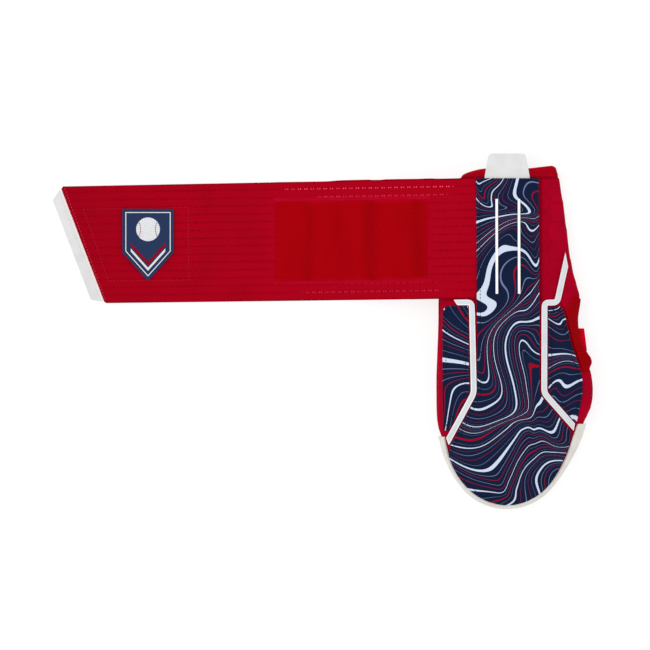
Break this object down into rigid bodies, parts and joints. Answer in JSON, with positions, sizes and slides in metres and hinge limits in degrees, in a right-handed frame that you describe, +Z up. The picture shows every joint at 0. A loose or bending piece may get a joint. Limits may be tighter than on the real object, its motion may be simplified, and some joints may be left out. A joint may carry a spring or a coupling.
{
  "type": "sliding mitt",
  "caption": "Padded baseball sliding mitt for one hand, lying palm down, with a printed back, a rubber toe rand and its wide wrist strap opened out flat.",
  "frame": {"origin": "middle of the footprint, on the surface that the mitt lies on", "axes": "+X towards the thumb side, along the opened strap; +Y from the toe towards the cuff; +Z up, from the palm to the back of the hand"},
  "size_m": [0.4804, 0.316, 0.0423],
  "materials": {
    "red_knit": "matt stretch knit over foam",
    "red_perforated": "matt perforated neoprene with a knit face",
    "red_webbing": "matt narrow webbing",
    "dark_red_rib": "matt ribbed stretch cloth",
    "dark_red_loop": "brushed loop pile",
    "dark_red_hook": "moulded hook tape",
    "navy_print": "matt knit with a marbled print",
    "navy_badge": "embroidered twill",
    "white_trim": "satin welded rubber",
    "off_white_rand": "satin synthetic leather",
    "white_tab": "satin moulded rubber"
  },
  "bodies": {
    "root": {"back_half": "red_knit", "palm_half": "red_knit", "cuff_hem": "red_knit", "toe_bumper": "off_white_rand", "back_panel": "navy_print", "side_panel_left": "navy_print", "side_panel_right": "navy_print", "trim_strip_left": "white_trim", "trim_strip_right": "white_trim", "accent_bar_left": "white_trim", "accent_bar_right": "white_trim", "pull_tab": "white_tab", "side_gusset": "dark_red_rib", "side_tab": "red_webbing", "wrist_strap": "red_perforated", "loop_patch": "dark_red_loop", "hook_patch": "dark_red_hook", "strap_end_tab": "white_tab", "strap_badge": "navy_badge"}
  },
  "joints": []
}
